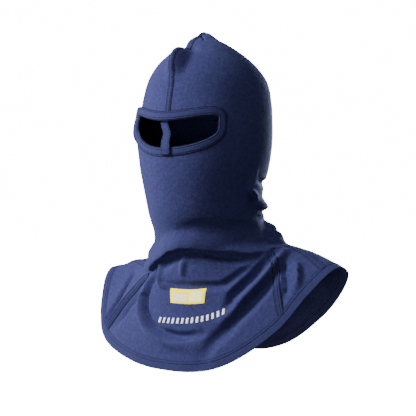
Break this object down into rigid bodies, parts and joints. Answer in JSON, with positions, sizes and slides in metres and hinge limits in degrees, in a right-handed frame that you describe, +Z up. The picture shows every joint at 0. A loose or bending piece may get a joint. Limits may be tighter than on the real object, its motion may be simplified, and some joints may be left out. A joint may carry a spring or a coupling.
{
  "type": "arc flash balaclava",
  "caption": "Knitted protective hood that covers head, neck and shoulders, with a bound eye opening, a nose strap, side gussets and a hemmed bib.",
  "frame": {"origin": "inside top of the crown, where the wearer's head meets the cloth", "axes": "+Z up, -Y out of the wearer's face, +X towards the wearer's left"},
  "size_m": [0.3535, 0.2278, 0.4231],
  "materials": {
    "body": "matte knit",
    "gusset": "matte knit",
    "seam": "matte knit, topstitched",
    "binding": "matte knit, topstitched",
    "label": "smooth woven label"
  },
  "bodies": {
    "root": {"hood_body": "body", "gusset_left": "gusset", "gusset_right": "gusset", "crown_seam": "seam", "eye_binding": "binding", "nose_strap": "binding", "seam_left_front": "seam", "seam_left_rear": "seam", "seam_right_front": "seam", "seam_right_rear": "seam", "hem_binding": "binding", "label_patch": "label"}
  },
  "joints": []
}
